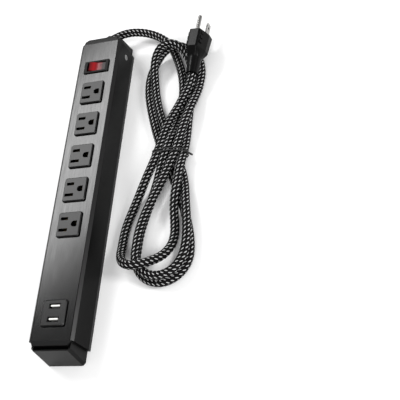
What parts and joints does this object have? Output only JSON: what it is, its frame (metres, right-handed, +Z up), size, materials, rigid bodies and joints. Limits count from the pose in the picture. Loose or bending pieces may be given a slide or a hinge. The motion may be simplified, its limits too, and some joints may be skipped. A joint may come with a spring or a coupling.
{
  "type": "power strip",
  "caption": "Flat metal power strip with a row of grounded outlets, a lit rocker switch, a USB charging block and a braided cord tied in a hank with its plug.",
  "frame": {"origin": "middle of the housing's base on the floor, cord left out", "axes": "+Y along the housing to the end the cord leaves, +X to the side the hank lies on, +Z up out of the outlets"},
  "size_m": [0.1527, 0.3942, 0.0399],
  "materials": {
    "black_aluminium": "black anodised, satin",
    "brushed_aluminium": "brushed along the length",
    "black_steel": "black powder coat",
    "cap_plastic": "moulded, satin black",
    "screw_steel": "zinc plated",
    "outlet_plastic": "moulded, glossy dark grey",
    "contact_brass": "stamped, plain",
    "carrier_plastic": "moulded, plain",
    "red_lens": "clear red, polished",
    "lamp_glass": "small neon lamp",
    "port_steel": "bright plated",
    "white_plastic": "moulded, plain",
    "circuit_board": "green solder mask",
    "black_wire": "insulated wire",
    "green_wire": "insulated wire",
    "braided_cord": "black braid with pale flecks",
    "tie_wire": "coated wire",
    "plug_rubber": "moulded, satin black",
    "plug_metal": "nickel plated"
  },
  "bodies": {
    "strip": {"housing_channel": "black_aluminium", "face_plate": "brushed_aluminium", "base_cover": "black_steel", "end_cap_cord": "cap_plastic", "end_cap_plain": "cap_plastic", "base_screws": "screw_steel", "bonding_screw": "screw_steel", "receptacle_1": "outlet_plastic", "receptacle_2": "outlet_plastic", "receptacle_3": "outlet_plastic", "receptacle_4": "outlet_plastic", "receptacle_5": "outlet_plastic", "hot_strip": "contact_brass", "neutral_strip": "contact_brass", "ground_strip": "contact_brass", "strip_carrier": "carrier_plastic", "switch_body": "outlet_plastic", "rocker_pin": "screw_steel", "switch_terminals": "contact_brass", "switch_lamp": "lamp_glass", "usb_module": "outlet_plastic", "usb_shells": "port_steel", "usb_tongues": "white_plastic", "usb_board": "circuit_board", "usb_transformer": "carrier_plastic", "usb_capacitor": "port_steel", "wire_line": "black_wire", "wire_switched": "black_wire", "wire_neutral": "white_plastic", "wire_ground": "green_wire", "usb_wires": "black_wire", "cord_gland": "cap_plastic", "power_cord_lead": "braided_cord", "power_cord_hank": "braided_cord", "power_cord_tail": "braided_cord", "cord_tie": "tie_wire", "plug_body": "plug_rubber", "plug_blade_hot": "plug_metal", "plug_blade_neutral": "plug_metal", "plug_ground_pin": "plug_metal"},
    "rocker": {"switch_rocker": "red_lens"},
    "lever": {"contact_lever": "contact_brass"}
  },
  "joints": [
    {"name": "rocker_tilt", "type": "hinge", "parent": "strip", "child": "rocker", "pos_m": [0, 0.1417, 0.0305], "axis": [0, -1, 0], "range_deg": [0, 20]},
    {"name": "lever_tilt", "type": "hinge", "parent": "strip", "child": "lever", "pos_m": [0, 0.1417, 0.0209], "axis": [0, -1, 0], "range_deg": [-16, 0]}
  ],
  "couplings": [
    {"joint": "lever_tilt", "follows": "rocker_tilt", "ratio": -0.8}
  ]
}
